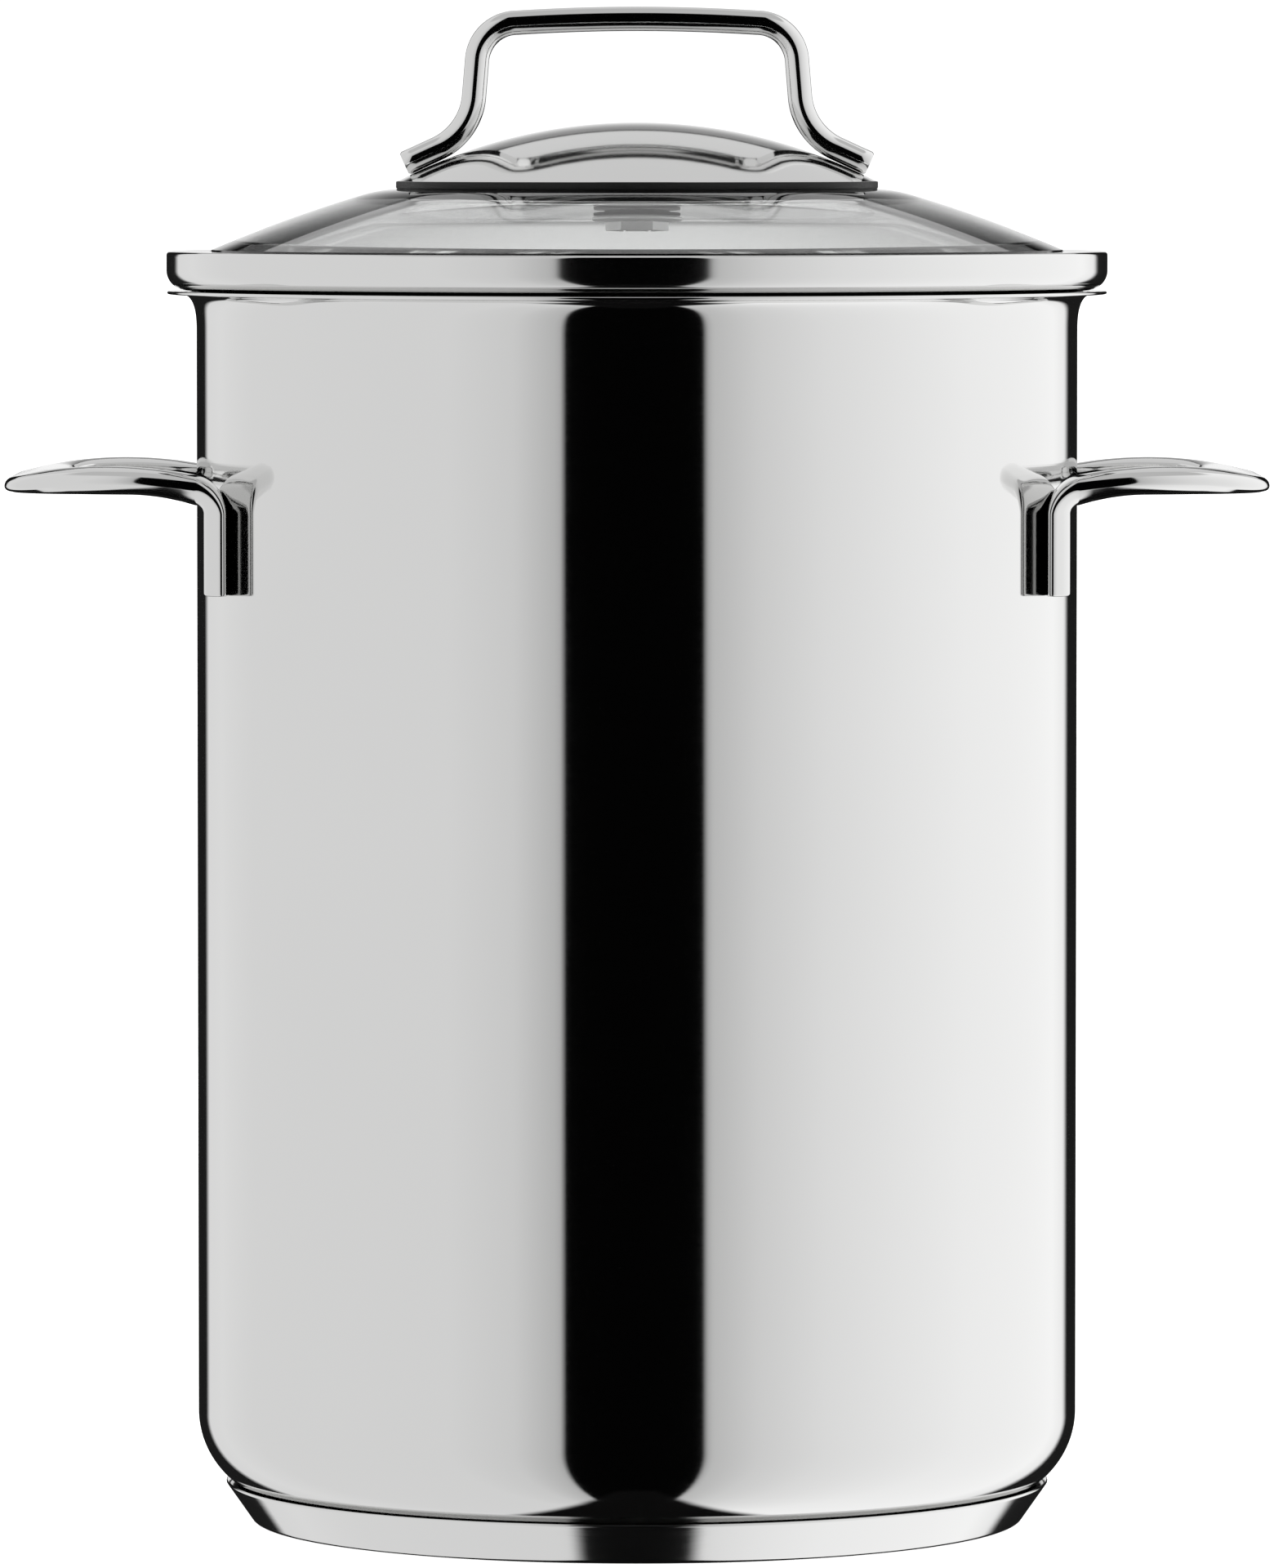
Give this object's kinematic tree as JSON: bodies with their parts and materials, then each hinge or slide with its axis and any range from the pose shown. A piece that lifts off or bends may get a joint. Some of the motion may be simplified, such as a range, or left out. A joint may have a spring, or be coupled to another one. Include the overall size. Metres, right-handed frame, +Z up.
{
  "type": "water bath canner",
  "caption": "Tall, slim steel water bath canner with a capsule base, loop side handles, a domed glass lid with a loop handle, and a lift-out wire jar basket with a folding bail.",
  "frame": {"origin": "centre of the underside of the base", "axes": "+Z up, the side handles point along -X and +X, the lid handle's bar runs along X, -Y is the front"},
  "size_m": [0.2306, 0.1726, 0.2783],
  "materials": {
    "polished_steel": "polished, slightly satin",
    "aluminium_core": "plain",
    "bright_wire": "bright drawn wire",
    "clear_glass": "clear tempered glass with a faint green edge",
    "black_silicone": "matte"
  },
  "bodies": {
    "pot": {"pot_shell": "polished_steel", "base_core_disc": "aluminium_core", "base_capsule": "polished_steel", "side_handle_left": "polished_steel", "side_handle_right": "polished_steel"},
    "lid": {"lid_glass": "clear_glass", "lid_rim_band": "polished_steel", "lid_rim_seal": "black_silicone", "lid_cap": "polished_steel", "lid_cap_gasket": "black_silicone", "lid_handle": "polished_steel", "lid_stud": "polished_steel", "lid_grommet": "black_silicone", "lid_inner_gasket": "black_silicone", "lid_inner_washer": "polished_steel", "lid_nut": "polished_steel"},
    "basket": {"basket_top_hoop": "bright_wire", "basket_middle_hoop": "bright_wire", "basket_base_ring": "bright_wire", "basket_upright_01": "bright_wire", "basket_upright_02": "bright_wire", "basket_upright_03": "bright_wire", "basket_upright_04": "bright_wire", "basket_upright_05": "bright_wire", "basket_upright_06": "bright_wire", "basket_upright_07": "bright_wire", "basket_upright_08": "bright_wire", "basket_upright_09": "bright_wire", "basket_upright_10": "bright_wire", "basket_upright_11": "bright_wire", "basket_upright_12": "bright_wire", "basket_grid_lower_1": "bright_wire", "basket_grid_lower_2": "bright_wire", "basket_grid_lower_3": "bright_wire", "basket_grid_lower_4": "bright_wire", "basket_grid_lower_5": "bright_wire", "basket_grid_upper_1": "bright_wire", "basket_grid_upper_2": "bright_wire", "basket_grid_upper_3": "bright_wire", "basket_grid_upper_4": "bright_wire", "basket_grid_upper_5": "bright_wire", "basket_eye_left": "bright_wire", "basket_eye_right": "bright_wire"},
    "bail": {"basket_bail": "bright_wire"}
  },
  "joints": [
    {"name": "lid_lift", "type": "slide", "parent": "pot", "child": "lid", "axis": [0, 0, 1], "range_m": [0, 0.36]},
    {"name": "basket_lift", "type": "slide", "parent": "pot", "child": "basket", "axis": [0, 0, 1], "range_m": [0, 0.2235]},
    {"name": "bail_hinge", "type": "hinge", "parent": "basket", "child": "bail", "pos_m": [0, 0, 0.1963], "axis": [1, 0, 0], "range_deg": [0, 90]}
  ],
  "couplings": [
    {"joint": "basket_lift", "follows": "lid_lift", "ratio": 0.62},
    {"joint": "bail_hinge", "follows": "lid_lift", "rad_per_m": 4.36}
  ]
}
